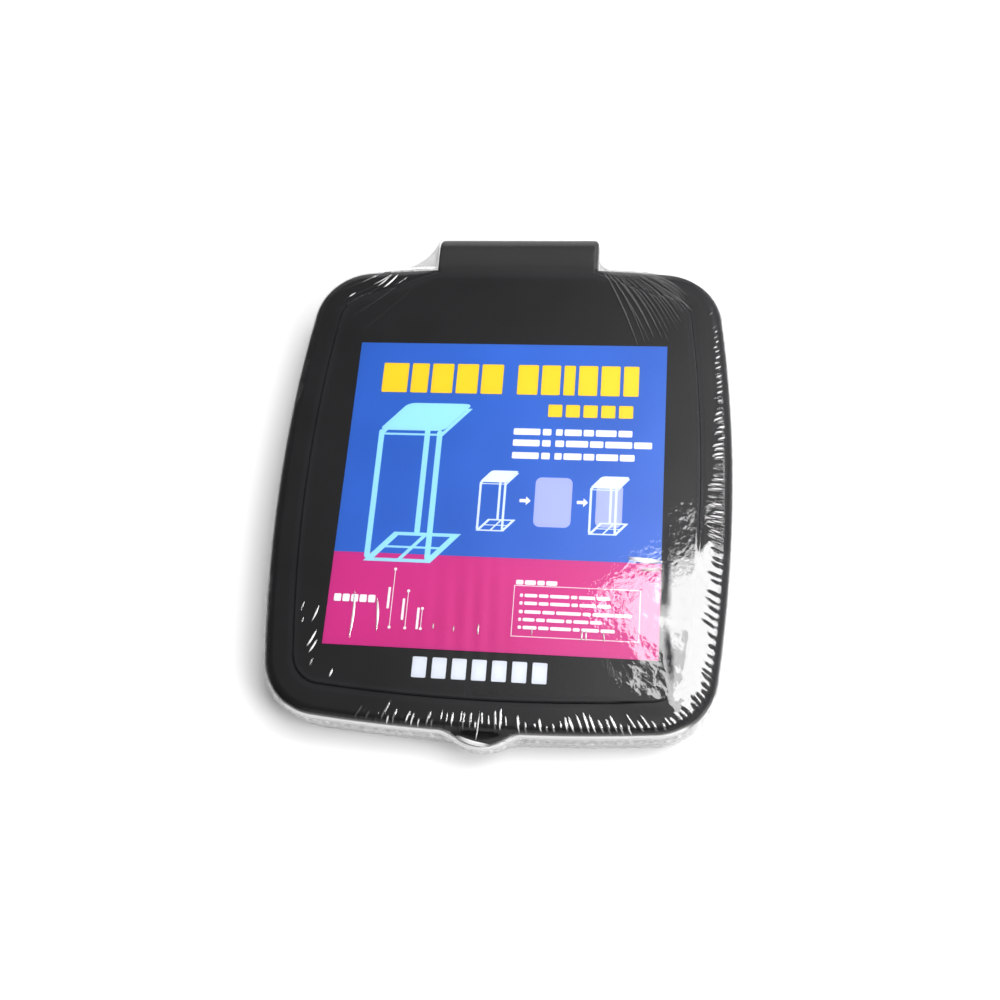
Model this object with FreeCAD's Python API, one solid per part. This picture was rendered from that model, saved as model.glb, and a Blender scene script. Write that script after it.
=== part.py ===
"""Bin bag holder kit, packed flat in clear shrink film.

Units are millimetres. X is to the right, Y runs from the thumb lip to the hinge block, Z is up.
The origin is the middle of the film's underside, under the middle of the whole pack.
From the floor up: the base, nine post sections, the bag ring, the stopper ring, the lid, the card.
"""
import FreeCAD, Part
import math
import os

from FreeCAD import Vector

# Shrink film
film = 0.3                  # thickness of the film skin
film_gap = 0.6              # air between the lid's edge and the film
web_left = 24.0             # film bridging the corner left of the hinge block
web_right = 9.0             # film bridging the corner right of the hinge block
web_drop = 4.0              # how far the bridging film starts below the lid's rim

# Plan of the lid, which the base and both rings follow
lid_width = 300.0
lid_length = 327.0
side_bow = 12.5             # bulge of each side edge
end_bow = 8.2               # bulge of the front and rear edges
corner_radius = 40.0
least_corner = 8.0          # smallest corner that an inner outline keeps

# Lid
lid_wall = 2.4
lid_skirt = 14.0            # depth of the skirt below the rim
edge_radius = 7.0           # rounding of the lid's top edge
panel_inset = 20.0          # from the lid's edge to the raised panel
panel_rise = 2.0
panel_round = 1.4
shoulder_half = 101.0       # where the panel starts to widen towards the hinge block
rib_height = 4.0            # locating rib below the bag ring's top
rib_thickness = 1.6
rib_clearance = 0.5         # between the locating rib and the bag ring

# Hinge block at the rear of the lid
block_width = 113.0
block_reach = 23.5          # beyond the lid's rear edge
block_round = 11.0          # rounding of its rear top edge
block_side_round = 3.0
block_depth = 18.0          # height of its rear wall
ear_thickness = 3.0
hinge_pin = 6.0             # diameter of the ring's stub pins
hinge_clearance = 0.2       # radial clearance of a stub pin
hinge_back = 12.0           # hinge axis behind the lid's rear edge
hinge_inset = 18.5          # from the block's side to the middle of each hinge arm
arm_width = 8.0
arm_height = 8.0
gusset = 2.0                # thickness of the ribs in the hinge block
gusset_height = 5.0

# Thumb lip at the front of the lid
lip_radius = 28.0           # of its outline, seen from above
lip_reach = 8.0
lip_thickness = 3.0
lip_drop = 6.0              # top of the lip's root below the rim
lip_slope = 4.0             # fall of the lip from its root to its tip

# Base
base_inset = 2.0            # inside the lid's outline
base_height = 18.0
base_wall = 2.4
base_edge_round = 4.0
rim_width = 8.0             # raised rim round the deck
rim_rise = 2.0
deck_width = 38.0           # from the base's edge to its opening
spoke_width = 11.0
spoke_depth = 12.0
hub_radius = 26.0
hub_round = 2.0             # rounding of the openings' corners at the hub
opening_round = 5.0         # rounding of the openings' corners

# Posts and their sockets
post_diameter = 22.0
post_wall = 1.2
post_count = 9
post_end_gap = 1.2          # between a packed section and the lid's locating rib
spigot_length = 20.0
spigot_clearance = 0.2      # radial clearance of a spigot in the next section
post_taper = 3.0            # length of the shoulder between post and spigot
socket_clearance = 0.2      # radial clearance of a post in a socket
socket_wall = 2.2
socket_share = 0.9          # depth of a socket, in post diameters
socket_floor = 1.6
collar_rise = 3.0           # socket collar above the deck
socket_margin = 1.0         # between a socket and the edge of the rim or ring
post_gap = 0.3              # between neighbouring sections in the pack
rest_gap = 0.1              # below a round section lying on the deck

# Rings
stopper_inset = 7.4         # inside the lid's outline
stopper_wall = 1.8
stopper_height = 7.0
stopper_flange = 6.0
ring_clearance = 0.3        # between the stopper ring and the bag ring
ring_band = 12.0
ring_height = 8.0
ring_wall = 2.0
notch_clearance = 1.0       # round the hinge arms in the stopper ring

# Instruction card
card_width = 210.0
card_length = 213.0
card_thickness = 0.5
card_right = 1.2            # right of the centre line
card_front = 7.2            # in front of the lid's middle

# Places that follow from the sizes
half_width = lid_width / 2
half_length = lid_length / 2
middle_y = (lip_reach - block_reach) / 2
deck_top = film + base_height
ring_top = deck_top + socket_share * post_diameter
stopper_top = ring_top + stopper_wall
rim_top = stopper_top + lid_wall
panel_top = rim_top + panel_rise
skirt_bottom = rim_top - lid_skirt
hinge_half = block_width / 2 - hinge_inset
hinge_y = half_length + hinge_back
hinge_z = ring_top - arm_height / 2
ring_inset = stopper_inset + stopper_wall + ring_clearance
socket_bore = post_diameter / 2 + socket_clearance
socket_radius = socket_bore + socket_wall

UP = Vector(0, 0, 1)
corner_x = half_width - side_bow
corner_y = half_length - end_bow
side_radius = (side_bow ** 2 + corner_y ** 2) / (2 * side_bow)
end_radius = (end_bow ** 2 + corner_x ** 2) / (2 * end_bow)

# The sockets lie just inside the deck's rim and the bag ring, also where the corners are rounded
socket_limit = max(ring_inset, base_inset + rim_width)
socket_room = socket_radius + socket_margin
corner_turn = math.asin(corner_y / side_radius) + math.asin(corner_x / end_radius)
corner_sine = math.sin(math.pi / 4 + corner_turn / 2)
front_post_inset = socket_limit + socket_room
corner_post_inset = socket_limit + max(
    socket_room, corner_sine * socket_room + (1 - corner_sine) * (corner_radius - socket_limit))

# The packed sections fill the width inside the lid's locating rib
rib_inset = ring_inset + ring_band + rib_clearance
post_step = post_diameter + post_gap
last_post_edge = (post_count - 1) / 2 * post_step + post_diameter / 2
rib_inside = side_radius - rib_inset - rib_thickness
post_length = 2 * (
    half_width - side_radius + math.sqrt(rib_inside ** 2 - last_post_edge ** 2) - post_end_gap)


def corner_of(inset):
    """Where the side and end arcs meet once both are moved inwards by inset."""
    side_centre = half_width - side_radius
    end_centre = half_length - end_radius
    side = side_radius - inset
    end = end_radius - inset
    apart = math.hypot(side_centre, end_centre)
    along = (side ** 2 - end ** 2 + apart ** 2) / (2 * apart)
    across = math.sqrt(side ** 2 - along ** 2)
    ux, uy = -side_centre / apart, end_centre / apart
    return side_centre + along * ux - across * uy, along * uy + across * ux


def end_at(x, inset):
    """Y of the rear end arc at one x, once it is moved inwards by inset."""
    return half_length - end_radius + math.sqrt((end_radius - inset) ** 2 - x ** 2)


def plan(inset, bottom, top):
    """Prism on the lid's outline, moved inwards by inset, with its corners rounded."""
    x, y = corner_of(inset)
    wide = half_width - inset
    long = half_length - inset
    points = [
        (Vector(x, -y, 0), Vector(wide, 0, 0), Vector(x, y, 0)),
        (Vector(x, y, 0), Vector(0, long, 0), Vector(-x, y, 0)),
        (Vector(-x, y, 0), Vector(-wide, 0, 0), Vector(-x, -y, 0)),
        (Vector(-x, -y, 0), Vector(0, -long, 0), Vector(x, -y, 0)),
    ]
    edges = [Part.Arc(*three).toShape() for three in points]
    body = Part.Face(Part.Wire(edges)).extrude(UP * (top - bottom))
    upright = [edge for edge in body.Edges if abs(edge.tangentAt(edge.FirstParameter).z) > 0.9]
    body = body.makeFillet(max(corner_radius - inset, least_corner), upright)
    body.translate(UP * bottom)
    return body


def polygon(points, thickness, plane="XY"):
    """Prism on a closed row of points in a plane, extruded along that plane's normal."""
    place = {
        "XY": lambda a, b: Vector(a, b, 0),
        "YZ": lambda a, b: Vector(0, a, b),
    }[plane]
    corners = [place(a, b) for a, b in points]
    along = UP if plane == "XY" else Vector(1, 0, 0)
    return Part.Face(Part.makePolygon(corners + corners[:1])).extrude(along * thickness)


def edges_at(body, height):
    """Edges that lie wholly at one height."""
    return [
        edge for edge in body.Edges
        if abs(edge.BoundBox.ZMin - height) < 1e-4 and abs(edge.BoundBox.ZMax - height) < 1e-4
    ]


def is_sharp(edge, solid):
    """True where the two faces beside an edge meet at an angle."""
    middle = edge.CenterOfMass
    normals = []
    for face in solid.ancestorsOfType(edge, Part.Face):
        u, v = face.Surface.parameter(middle)
        normals.append(face.normalAt(u, v))
    return abs(normals[0].dot(normals[1])) < 0.99


def cylinder(x, y, bottom, top, radius):
    return Part.makeCylinder(radius, top - bottom, Vector(x, y, bottom), UP)


def raised_panel(grow):
    """Panel on the lid, which widens at the rear until it meets the hinge block."""
    inset = panel_inset - grow
    low = rim_top - lid_wall + grow
    high = panel_top + grow
    panel = plan(inset, low, high)
    shoulder = shoulder_half + grow
    shoulder_y = end_at(shoulder, inset)
    narrow = block_width / 2 + grow
    narrow_y = half_length - edge_radius + grow
    points = [
        (-shoulder, 0), (shoulder, 0), (shoulder, shoulder_y),
        (narrow, narrow_y), (-narrow, narrow_y), (-shoulder, shoulder_y),
    ]
    widening = polygon(points, high - low)
    widening.translate(UP * low)
    body = panel.fuse(widening).removeSplitter()
    return body.makeFillet(panel_round + max(grow, 0), edges_at(body, high))


def hinge_block(grow, bottom):
    """Housing behind the lid's rear edge, with its rear top edge rounded over."""
    half = block_width / 2 + grow
    front = half_length - corner_radius
    rear = half_length + block_reach + grow
    top = panel_top + grow
    round_over = block_round + grow
    start = Vector(0, rear - round_over, top)
    end = Vector(0, rear, top - round_over)
    turn = math.radians(45)
    middle = Vector(
        0, rear - round_over + round_over * math.sin(turn), top - round_over + round_over * math.cos(turn))
    corners = [Vector(0, front, bottom), Vector(0, front, top), start]
    edges = [Part.LineSegment(a, b).toShape() for a, b in zip(corners, corners[1:])]
    edges.append(Part.Arc(start, middle, end).toShape())
    edges.append(Part.LineSegment(end, Vector(0, rear, bottom)).toShape())
    edges.append(Part.LineSegment(Vector(0, rear, bottom), corners[0]).toShape())
    body = Part.Face(Part.Wire(edges)).extrude(Vector(2 * half, 0, 0))
    body.translate(Vector(-half, 0, 0))
    rounded = [
        edge for edge in body.Edges
        if edge.BoundBox.XLength < 1e-6 and edge.BoundBox.YMax > front + 1
        and edge.BoundBox.ZMax > bottom + 1
    ]
    return body.makeFillet(max(block_side_round + grow, 0.8), rounded)


def thumb_lip(grow, bottom):
    """Tab with a round outline that slopes out and down from the lid's front edge."""
    radius = lip_radius + grow
    root = half_length - edge_radius
    tip = half_length + lip_reach + grow
    high = rim_top - lip_drop + grow
    low = high - lip_slope
    profile = polygon(
        [(-root, high), (-tip, low), (-tip, low - lip_thickness - 2 * grow), (-root, bottom)],
        2 * radius, "YZ")
    profile.translate(Vector(-radius, 0, 0))
    return profile.common(Part.makeCylinder(radius, high, Vector(0, radius - tip, 0)))


def cap(grow, bottom, block_bottom):
    """The lid's outer form, grown outwards or shrunk inwards by one even distance."""
    body = plan(-grow, bottom, rim_top + grow)
    body = body.makeFillet(edge_radius + grow, edges_at(body, rim_top + grow))
    return body.fuse([raised_panel(grow), hinge_block(grow, block_bottom)]).removeSplitter()


def centred(body):
    """Moves a piece from the lid's own middle to its place in the pack."""
    body.translate(Vector(0, middle_y, 0))
    return body


def hinge_ears():
    """Pair of eared plates in the hinge block that hold the ring's stub pins."""
    block_bottom = panel_top - block_depth
    reach = hinge_y + 0.75 * hinge_pin
    ears = []
    for side in (-1, 1):
        inner = hinge_half + arm_width / 2 + ring_clearance
        x = side * (inner + ear_thickness / 2) - ear_thickness / 2
        height = panel_top - lid_wall - block_bottom
        plate = Part.makeBox(
            ear_thickness, reach - half_length + edge_radius, height,
            Vector(x, half_length - edge_radius, block_bottom))
        hole = Part.makeCylinder(
            hinge_pin / 2 + hinge_clearance, ear_thickness, Vector(x, hinge_y, hinge_z), Vector(1, 0, 0))
        ears.append(plate.cut(hole))
    return ears


def gussets():
    """Short ribs under the hinge block's top, between and outside the ears."""
    top = panel_top - lid_wall
    ribs = []
    for x in (-hinge_half / 2, 0.0, hinge_half / 2):
        ribs.append(Part.makeBox(
            gusset, half_length + block_reach - block_round - hinge_y + hinge_back, gusset_height,
            Vector(x - gusset / 2, half_length, top - gusset_height)))
    return ribs


def locating_rib():
    """Rib under the panel that centres the closed lid in the bag ring's mouth."""
    rib = hoop(rib_inset, rib_thickness, ring_top - rib_height, panel_top - lid_wall)
    room = socket_radius + rib_clearance
    return rib.cut([cylinder(x, y, 0, ring_top + rib_clearance, room) for x, y in post_places()])


def lid():
    """Moulded lid: one even wall, raised panel, hinge block and thumb lip."""
    block_bottom = panel_top - block_depth
    outer = cap(0, skirt_bottom, block_bottom)
    inner = cap(-lid_wall, block_bottom - 1, block_bottom - 1)
    lip = thumb_lip(0, skirt_bottom + lid_wall).cut(plan(lid_wall / 2, 0, rim_top))
    inside = hinge_ears() + gussets() + [locating_rib()]
    body = outer.cut(inner).fuse([lip] + inside).removeSplitter()
    return centred(body)


def hoop(inset, band, bottom, top):
    """Flat band that follows the lid's outline."""
    return plan(inset, bottom, top).cut(plan(inset + band, bottom - 1, top + 1))


def post_places():
    """Two posts at the rear corners and one at the middle of the front."""
    x, y = corner_of(corner_post_inset)
    return [(-x, y), (x, y), (0.0, -(half_length - front_post_inset))]


def bag_ring():
    """Top hoop of the stand: sockets for the posts below it, hinge arms behind it."""
    bottom = ring_top - ring_height
    ring = hoop(ring_inset, ring_band, bottom, ring_top)
    channel = hoop(ring_inset + ring_wall, ring_band - 2 * ring_wall, bottom - 1, ring_top - ring_wall)
    ring = ring.cut(channel)
    bosses = [cylinder(x, y, deck_top, ring_top, socket_radius) for x, y in post_places()]
    bores = [
        cylinder(x, y, deck_top - 1, ring_top - socket_floor, socket_bore) for x, y in post_places()]
    ring = ring.fuse(bosses + hinge_arms()).cut(bores)
    return centred(ring.removeSplitter())


def hinge_arms():
    """Arms that reach into the hinge block, each with a stub pin pointing outwards."""
    arms = []
    start = half_length - ring_inset - ring_wall
    for side in (-1, 1):
        x = side * hinge_half - arm_width / 2
        arm = Part.makeBox(
            arm_width, hinge_y - start, arm_height, Vector(x, start, hinge_z - arm_height / 2))
        end = Part.makeCylinder(arm_height / 2, arm_width, Vector(x, hinge_y, hinge_z), Vector(1, 0, 0))
        pin_length = ear_thickness + ring_clearance
        pin_start = side * (hinge_half + arm_width / 2)
        pin = Part.makeCylinder(
            hinge_pin / 2, pin_length, Vector(pin_start, hinge_y, hinge_z), Vector(side, 0, 0))
        arms += [arm, end, pin]
    return arms


def stopper_ring():
    """Hoop that drops over the bag ring and grips the bag's folded edge."""
    flange = hoop(stopper_inset, stopper_wall + stopper_flange, ring_top, stopper_top)
    wall = hoop(stopper_inset, stopper_wall, stopper_top - stopper_height, stopper_top)
    notches = [
        Part.makeBox(
            arm_width + 2 * notch_clearance, half_length, ring_top + ring_clearance,
            Vector(side * hinge_half - arm_width / 2 - notch_clearance, half_length / 2, 0))
        for side in (-1, 1)
    ]
    ring = flange.fuse(wall).cut(notches)
    return centred(ring.removeSplitter())


def openings(grow, bottom, top):
    """Five openings between the deck, the spokes and the hub, each grown by one even distance."""
    inset = base_inset + deck_width - grow
    region = plan(inset, bottom, top)
    x, y = corner_of(inset)
    ends = [(sx * x, sy * y) for sx in (-1, 1) for sy in (-1, 1)] + [(0.0, -half_length)]
    width = spoke_width - 2 * grow
    bars = [cylinder(0, 0, bottom, top, hub_radius - grow)]
    for end_x, end_y in ends:
        bar = Part.makeBox(lid_length, width, top - bottom, Vector(0, -width / 2, bottom))
        bar.rotate(Vector(0, 0, 0), UP, math.degrees(math.atan2(end_y, end_x)))
        bars.append(bar)
    rounded = []
    for solid in region.cut(bars).Solids:
        solid = solid.makeFillet(hub_round + grow, corners_of(solid, 0, hub_radius + opening_round))
        solid = solid.makeFillet(
            opening_round + grow, corners_of(solid, hub_radius + opening_round, lid_length))
        rounded.append(solid)
    return rounded


def corners_of(solid, near, far):
    """Sharp upright edges of a prism, between two distances from the centre."""
    return [
        edge for edge in solid.Edges
        if edge.BoundBox.XLength + edge.BoundBox.YLength < 1e-4 and is_sharp(edge, solid)
        and near <= math.hypot(edge.CenterOfMass.x, edge.CenterOfMass.y) < far
    ]


def base():
    """Moulded base: skirted deck with a raised rim, five spokes, a hub and three sockets."""
    shell = plan(base_inset, film, deck_top + rim_rise)
    shell = shell.makeFillet(base_edge_round, edges_at(shell, deck_top + rim_rise))
    recess = plan(base_inset + rim_width, deck_top, deck_top + rim_rise + 1)
    underside = plan(base_inset + base_wall, film - 1, deck_top - base_wall)
    walls = openings(base_wall, deck_top - spoke_depth, deck_top)
    holes = openings(0, film - 1, deck_top + 1)
    bosses = [
        cylinder(x, y, film, deck_top + collar_rise, socket_radius) for x, y in post_places()]
    bores = [
        cylinder(x, y, film + socket_floor, deck_top + collar_rise + 1, socket_bore)
        for x, y in post_places()]
    body = shell.cut([recess, underside]).fuse(walls).cut(holes).fuse(bosses).cut(bores)
    body = body.removeSplitter()
    body.rotate(Vector(0, 0, 0), UP, 180)
    return centred(body)


def post_section(place):
    """One tube of a post, with a spigot at its right end for the next one."""
    radius = post_diameter / 2
    bore = radius - post_wall
    spigot = bore - spigot_clearance
    spigot_bore = spigot - post_wall
    shoulder = post_length - spigot_length
    outside = [
        (0, 0), (0, radius), (shoulder - post_taper, radius), (shoulder, spigot),
        (post_length, spigot), (post_length, 0),
    ]
    inside = [
        (-1, 0), (-1, bore), (shoulder - post_taper, bore), (shoulder, spigot_bore),
        (post_length + 1, spigot_bore), (post_length + 1, 0),
    ]
    solids = []
    for points in (outside, inside):
        corners = [Vector(x, 0, r) for x, r in points]
        face = Part.Face(Part.makePolygon(corners + corners[:1]))
        solids.append(face.revolve(Vector(0, 0, 0), Vector(1, 0, 0), 360))
    tube = solids[0].cut(solids[1])
    across = (place - (post_count - 1) / 2) * post_step
    tube.translate(Vector(-post_length / 2, across, deck_top + rest_gap + radius))
    return centred(tube)


def instruction_card():
    """Printed card lying on the lid's panel."""
    x = card_right - card_width / 2
    y = -card_front - card_length / 2
    return centred(Part.makeBox(card_width, card_length, card_thickness, Vector(x, y, panel_top)))


def corner_web(side, size, grow):
    """Film bridging the corner between the lid's rear edge and the hinge block."""
    edge_x = block_width / 2 + grow
    edge_y = end_at(edge_x, -grow)
    x = side * edge_x
    bottom = skirt_bottom - grow
    height = rim_top - web_drop + grow - bottom
    block = polygon(
        [(x - side * grow, edge_y - grow - end_bow), (x + side * size, edge_y - grow - end_bow),
         (x + side * size, edge_y), (x, edge_y + size), (x - side * grow, edge_y + size)], height)
    hollow = Part.makeCylinder(size, height, Vector(x + side * size, edge_y + size, 0), UP)
    web = block.cut(hollow)
    web.translate(UP * bottom)
    return web


def wrapped_form(grow, bottom):
    """Outer form of everything inside the film, down to the floor."""
    block_bottom = panel_top - block_depth - grow
    body = plan(-grow, bottom, rim_top + grow)
    body = body.makeFillet(edge_radius + grow, edges_at(body, rim_top + grow))
    panel = raised_panel(0)
    panel.translate(UP * (card_thickness + grow - film_gap))
    rear_wedge = polygon(
        [(0, bottom), (half_length + grow - end_bow / 2, bottom),
         (half_length + block_reach + grow, block_bottom), (0, block_bottom)],
        block_width + 2 * grow, "YZ")
    rear_wedge.translate(Vector(-block_width / 2 - grow, 0, 0))
    pieces = [
        panel, hinge_block(grow, block_bottom), rear_wedge, thumb_lip(grow, bottom),
        corner_web(-1, web_left, grow), corner_web(1, web_right, grow),
    ]
    return body.fuse(pieces).removeSplitter()


def shrink_film():
    """Closed skin of clear film that holds the kit together."""
    outside = wrapped_form(film_gap + film, 0)
    inside = wrapped_form(film_gap, film)
    return centred(outside.cut(inside))


def main():
    os.makedirs("parts", exist_ok=True)
    pieces = {
        "shrink_film": shrink_film(),
        "instruction_card": instruction_card(),
        "lid": lid(),
        "stopper_ring": stopper_ring(),
        "bag_ring": bag_ring(),
        "base": base(),
    }
    for place in range(post_count):
        pieces["post_section_%d" % (place + 1)] = post_section(place)
    for name, shape in pieces.items():
        shape.exportStep("parts/%s.step" % name)
        box = shape.BoundBox
        print("%-18s solids %d valid %s volume %.0f z %.2f to %.2f" % (
            name, len(shape.Solids), shape.isValid(), shape.Volume, box.ZMin, box.ZMax))


main()
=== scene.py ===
# %% [markdown]
# # A bin bag holder, packed flat in shrink film
# The solids come from the CAD model and stay where they are. Blender adds what a drawing leaves out: the
# film with its pleats and folds, the print, and the finish of each plastic.

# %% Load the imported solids
import math

import bpy
import numpy as np
from mathutils import Matrix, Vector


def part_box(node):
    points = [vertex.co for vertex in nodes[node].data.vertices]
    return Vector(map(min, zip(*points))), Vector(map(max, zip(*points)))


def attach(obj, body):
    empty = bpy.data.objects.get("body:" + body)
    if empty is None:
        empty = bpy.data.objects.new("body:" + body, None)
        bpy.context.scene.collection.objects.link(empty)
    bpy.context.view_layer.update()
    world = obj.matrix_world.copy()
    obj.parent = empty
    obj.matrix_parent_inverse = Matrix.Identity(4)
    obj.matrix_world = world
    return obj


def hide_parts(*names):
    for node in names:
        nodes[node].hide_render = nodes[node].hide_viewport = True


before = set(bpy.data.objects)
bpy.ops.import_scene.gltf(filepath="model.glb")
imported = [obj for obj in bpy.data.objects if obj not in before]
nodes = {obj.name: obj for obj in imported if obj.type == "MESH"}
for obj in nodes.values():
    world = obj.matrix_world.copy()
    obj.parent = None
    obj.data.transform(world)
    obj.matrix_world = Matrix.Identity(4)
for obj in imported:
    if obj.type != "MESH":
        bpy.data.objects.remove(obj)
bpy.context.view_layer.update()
print("solids:", len(nodes))

# %% [markdown]
# ## Two helpers for materials
# Colours are written as a designer notes them, as sRGB hex, and the shader works in linear light, so one
# function turns one into the other. Every material is a small graph, so a second function adds one node with
# its settings, its fixed values and what feeds it.

# %% Colours and nodes


def linear(code):
    """sRGB hex colour in linear light: a short straight part near black, and a power of 2.4 above it."""
    value = np.array([int(code[i:i + 2], 16) for i in (1, 3, 5)]) / 255
    light = np.where(value <= 0.04045, value / 12.92, ((value + 0.055) / 1.055) ** 2.4)
    return (*light.tolist(), 1.0)


def add(tree, kind, values=None, links=None, **settings):
    """One node: settings are its own, values fill its sockets, and links name what feeds them."""
    node = tree.nodes.new("ShaderNode" + kind)
    for name, setting in settings.items():
        setattr(node, name, setting)
    for socket, value in (values or {}).items():
        node.inputs[socket].default_value = value
    for socket, source in (links or {}).items():
        tree.links.new(source, node.inputs[socket])
    return node


def new_material(name):
    """Empty material, its tree and its output."""
    material = bpy.data.materials.new(name)
    material.use_nodes = True
    material.node_tree.nodes.clear()
    return material, material.node_tree, add(material.node_tree, "OutputMaterial")


print("black in linear light:", [round(c, 4) for c in linear("#1c1c1e")[:3]])

# %% [markdown]
# ## Camera
# The card is a flat sheet with straight edges, so its four corners in the photograph give the whole camera:
# a lens of about 40 mm on a 36 mm sensor, high above the front edge and a little to the right.

# %% Camera
camera = bpy.data.objects.new("camera", bpy.data.cameras.new("camera"))
bpy.context.scene.collection.objects.link(camera)
camera.data.lens = 39.6
camera.data.sensor_width = 36.0
right = (0.99044, 0.07650, -0.11477)
up = (-0.03259, 0.93834, 0.34417)
back = (0.13402, -0.33714, 0.93187)
place = (0.09722, -0.26168, 0.70858)
rows = [(r, u, b, p) for r, u, b, p in zip(right, up, back, place)]
camera.matrix_world = Matrix(rows + [(0, 0, 0, 1)])
bpy.context.scene.camera = camera
print("camera looks down at", round(math.degrees(math.asin(back[2]))), "degrees")

# %% [markdown]
# ## Floor
# A photographer lays such a pack on white board, which comes out white and keeps a soft shadow. Stronger
# lamps would do it too, but they would wash out the pack. So the board has a faint glow that the camera sees,
# directly or in a mirror, and that lights nothing, and the pack is lit at a plain level.

# %% Floor
board_colour, board_glow = "#c4c4c4", 0.18
floor_mesh = bpy.data.meshes.new("floor")
floor_mesh.from_pydata([(-6, -6, 0), (6, -6, 0), (6, 6, 0), (-6, 6, 0)], [], [(0, 1, 2, 3)])
floor = bpy.data.objects.new("floor", floor_mesh)
bpy.context.scene.collection.objects.link(floor)

material, tree, out = new_material("white_table")
path = add(tree, "LightPath")
seen = add(tree, "Math", operation="MAXIMUM",
           links={0: path.outputs["Is Camera Ray"], 1: path.outputs["Is Glossy Ray"]})
seen = add(tree, "Math", operation="MAXIMUM",
           links={0: seen.outputs[0], 1: path.outputs["Is Transmission Ray"]})
lift = add(tree, "Math", {1: board_glow}, {0: seen.outputs[0]}, operation="MULTIPLY")
white = add(tree, "BsdfDiffuse", {"Color": linear(board_colour)})
glow = add(tree, "Emission", {"Color": (1, 1, 1, 1)}, {"Strength": lift.outputs[0]})
both = add(tree, "AddShader", links={0: white.outputs[0], 1: glow.outputs[0]})
tree.links.new(both.outputs[0], out.inputs["Surface"])
floor_mesh.materials.append(material)
print("floor:", tuple(round(s) for s in floor.dimensions[:2]), "m")

# %% [markdown]
# ## Sky
# Film and black plastic show mostly what they mirror, so the sky is drawn for its reflection. Dim overhead,
# it keeps the lid black. Brighter near the horizon, and more so behind the pack, it lights the rounded edges
# and fills the shadow. The left stays dim, as the side of a room away from the lamps does. A soft glow
# surrounds the softbox, because a real one lights the wall behind it.

# %% Sky
key_direction = np.array((0.78, 0.29, 1.76)) / np.linalg.norm((0.78, 0.29, 1.76))
world = bpy.data.worlds.new("studio")
bpy.context.scene.world = world
world.use_nodes = True
sky = world.node_tree
sky.nodes.clear()
direction = add(sky, "TexCoord")
part = add(sky, "SeparateXYZ", links={0: direction.outputs["Generated"]})
horizon = add(sky, "MapRange", {"From Min": 0.55, "From Max": 0.86, "To Min": 1.0, "To Max": 0.0},
              {"Value": part.outputs["Z"]}, interpolation_type="SMOOTHSTEP")
behind = add(sky, "MapRange", {"From Min": -0.1, "From Max": 0.6, "To Min": 0.42, "To Max": 0.75},
             {"Value": part.outputs["Y"]}, interpolation_type="SMOOTHSTEP")
leftward = add(sky, "MapRange", {"From Min": -0.70, "From Max": -0.10, "To Min": 0.08, "To Max": 1.0},
               {"Value": part.outputs["X"]}, interpolation_type="SMOOTHSTEP")
low = add(sky, "Math", operation="MULTIPLY", links={0: horizon.outputs[0], 1: behind.outputs[0]})
low = add(sky, "Math", operation="MULTIPLY", links={0: low.outputs[0], 1: leftward.outputs[0]})
nearness = add(sky, "VectorMath", {1: key_direction.tolist()}, {0: direction.outputs["Generated"]},
               operation="DOT_PRODUCT")
glow = add(sky, "MapRange", {"From Min": 0.80, "From Max": 1.0, "To Min": 0.07, "To Max": 0.37},
           {"Value": nearness.outputs["Value"]}, interpolation_type="SMOOTHSTEP")
level = add(sky, "Math", operation="ADD", links={0: low.outputs[0], 1: glow.outputs[0]})
background = add(sky, "Background", {"Color": (1, 1, 1, 1)}, {"Strength": level.outputs[0]})
add(sky, "OutputWorld", links={"Surface": background.outputs[0]})
print("sky nodes:", len(sky.nodes))

# %% [markdown]
# ## Lamps
# One softbox hangs high on the right, and the film mirrors it wherever it lies at the right tilt. A real
# softbox is brighter in its middle, so a smaller lamp lies inside the first. A third lamp stands lower and,
# by light linking, lights the floor alone: it sets how far the pack's shadow reaches to the left, and puts
# no light on the pack.

# %% Softbox with a brighter middle, and the floor's own lamp


def softbox(name, towards, distance, size, power, turn=0.0):
    """Rectangular lamp that faces the pack from a direction, turned about its own axis."""
    lamp = bpy.data.lights.new(name, "AREA")
    lamp.shape = "RECTANGLE"
    lamp.size, lamp.size_y = size
    lamp.energy = power
    made = bpy.data.objects.new(name, lamp)
    bpy.context.scene.collection.objects.link(made)
    axis = np.array(towards) / np.linalg.norm(towards)
    side = np.cross((0, 1, 0), axis)
    side /= np.linalg.norm(side)
    upward = np.cross(axis, side)
    c, s = math.cos(turn), math.sin(turn)
    x, y = c * side + s * upward, c * upward - s * side
    table = np.column_stack([x, y, axis, axis * distance])
    made.matrix_world = Matrix([*table.tolist(), [0, 0, 0, 1]])
    made.visible_camera = False
    return made


softbox_turn = math.radians(30)
softbox("softbox", key_direction, 1.95, (1.30, 1.15), 31, softbox_turn)
softbox("softbox_middle", (0.75, 0.33, 1.76), 1.94, (1.05, 0.95), 15, softbox_turn)
floor_fill = softbox("floor_fill", (1.0, -0.45, 1.05), 1.9, (0.9, 0.7), 33)
floor_only = bpy.data.collections.new("floor_only")
floor_only.objects.link(floor)
floor_fill.light_linking.receiver_collection = floor_only

# %% [markdown]
# ## Black plastics
# The lid, base and rings are injection-moulded polypropylene with black pigment. The steel mould was lightly
# etched, so the surface is a fine grain that blurs reflections. The tubes are extruded from the same plastic
# and are smoother along their length, with faint die lines. Polypropylene's index is 1.49.

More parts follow.
